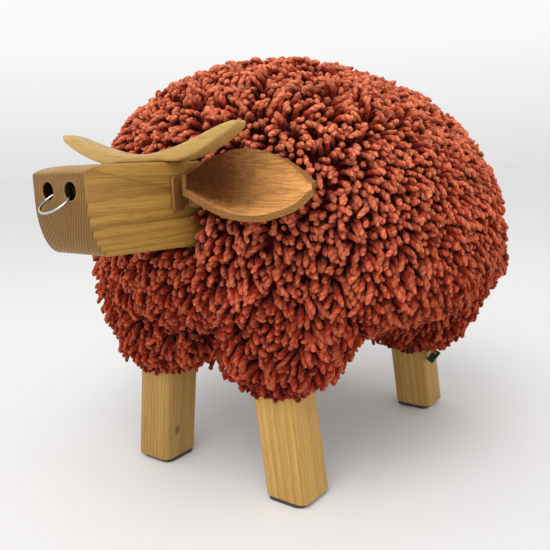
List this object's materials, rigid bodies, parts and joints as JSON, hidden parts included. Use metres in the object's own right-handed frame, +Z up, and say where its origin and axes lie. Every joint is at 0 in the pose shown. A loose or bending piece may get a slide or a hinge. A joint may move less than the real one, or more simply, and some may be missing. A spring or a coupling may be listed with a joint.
{
  "type": "animal footstool",
  "caption": "Footstool shaped like a highland cow: splayed wooden legs, domed loop-pile body, wooden head with horns, leather ears and a swinging nose ring.",
  "frame": {"origin": "on the floor, at the middle of the overall length and width", "axes": "+Z up, -Y the way the animal faces, +X its left side"},
  "size_m": [0.422, 0.5221, 0.3982],
  "materials": {
    "loop_pile": "matt loop pile of thick twisted yarn",
    "foam": "upholstery foam",
    "dust_cloth": "black woven dust cloth",
    "zinc_steel": "zinc plated",
    "leather": "thick tan leather with a fuzzy cut edge",
    "felt": "dark felt",
    "dowel_wood": "plain beech dowel",
    "pale_oak": "waxed pale oak",
    "head_oak": "waxed oak, end grain at the front",
    "leg_oak": "waxed oak, grain along the leg",
    "chrome_wire": "polished",
    "green_cloth": "dark green woven tape",
    "plywood": "bare plywood"
  },
  "bodies": {
    "stool": {"cover_body": "loop_pile", "dust_cover": "dust_cloth", "ear_left": "leather", "ear_right": "leather", "ear_screw_left": "zinc_steel", "ear_screw_right": "zinc_steel", "ear_tab_left": "leather", "ear_tab_right": "leather", "foam_chest": "foam", "foam_left": "foam", "foam_right": "foam", "foam_rump": "foam", "foam_top": "foam", "foot_pad_front_left": "felt", "foot_pad_front_right": "felt", "foot_pad_rear_left": "felt", "foot_pad_rear_right": "felt", "front_board": "plywood", "front_board_screw_left_high": "zinc_steel", "front_board_screw_left_low": "zinc_steel", "front_board_screw_right_high": "zinc_steel", "front_board_screw_right_low": "zinc_steel", "head_block": "head_oak", "horn_dowel_left": "dowel_wood", "horn_dowel_right": "dowel_wood", "horns": "pale_oak", "leg_front_left": "leg_oak", "leg_front_right": "leg_oak", "leg_rear_left": "leg_oak", "leg_rear_right": "leg_oak", "leg_screw_front_left_high": "zinc_steel", "leg_screw_front_left_low": "zinc_steel", "leg_screw_front_right_high": "zinc_steel", "leg_screw_front_right_low": "zinc_steel", "leg_screw_rear_left_high": "zinc_steel", "leg_screw_rear_left_low": "zinc_steel", "leg_screw_rear_right_high": "zinc_steel", "leg_screw_rear_right_low": "zinc_steel", "neck_bolt_left": "zinc_steel", "neck_bolt_right": "zinc_steel", "neck_washer_left": "zinc_steel", "neck_washer_right": "zinc_steel", "rear_board": "plywood", "rear_board_screw_left": "zinc_steel", "rear_board_screw_right": "zinc_steel", "side_board_left": "plywood", "side_board_right": "plywood", "side_tab": "green_cloth", "sleeve_front_left": "loop_pile", "sleeve_front_right": "loop_pile", "sleeve_rear_left": "loop_pile", "sleeve_rear_right": "loop_pile", "top_board": "plywood", "top_board_screw_front_left": "zinc_steel", "top_board_screw_front_right": "zinc_steel", "top_board_screw_rear_left": "zinc_steel", "top_board_screw_rear_right": "zinc_steel"},
    "nose_ring": {"nose_ring": "chrome_wire"}
  },
  "joints": [
    {"name": "nose_ring_swing", "type": "hinge", "parent": "stool", "child": "nose_ring", "pos_m": [0, -0.24012, 0.2852], "axis": [-1, 0, 0], "range_deg": [0, 68]}
  ]
}
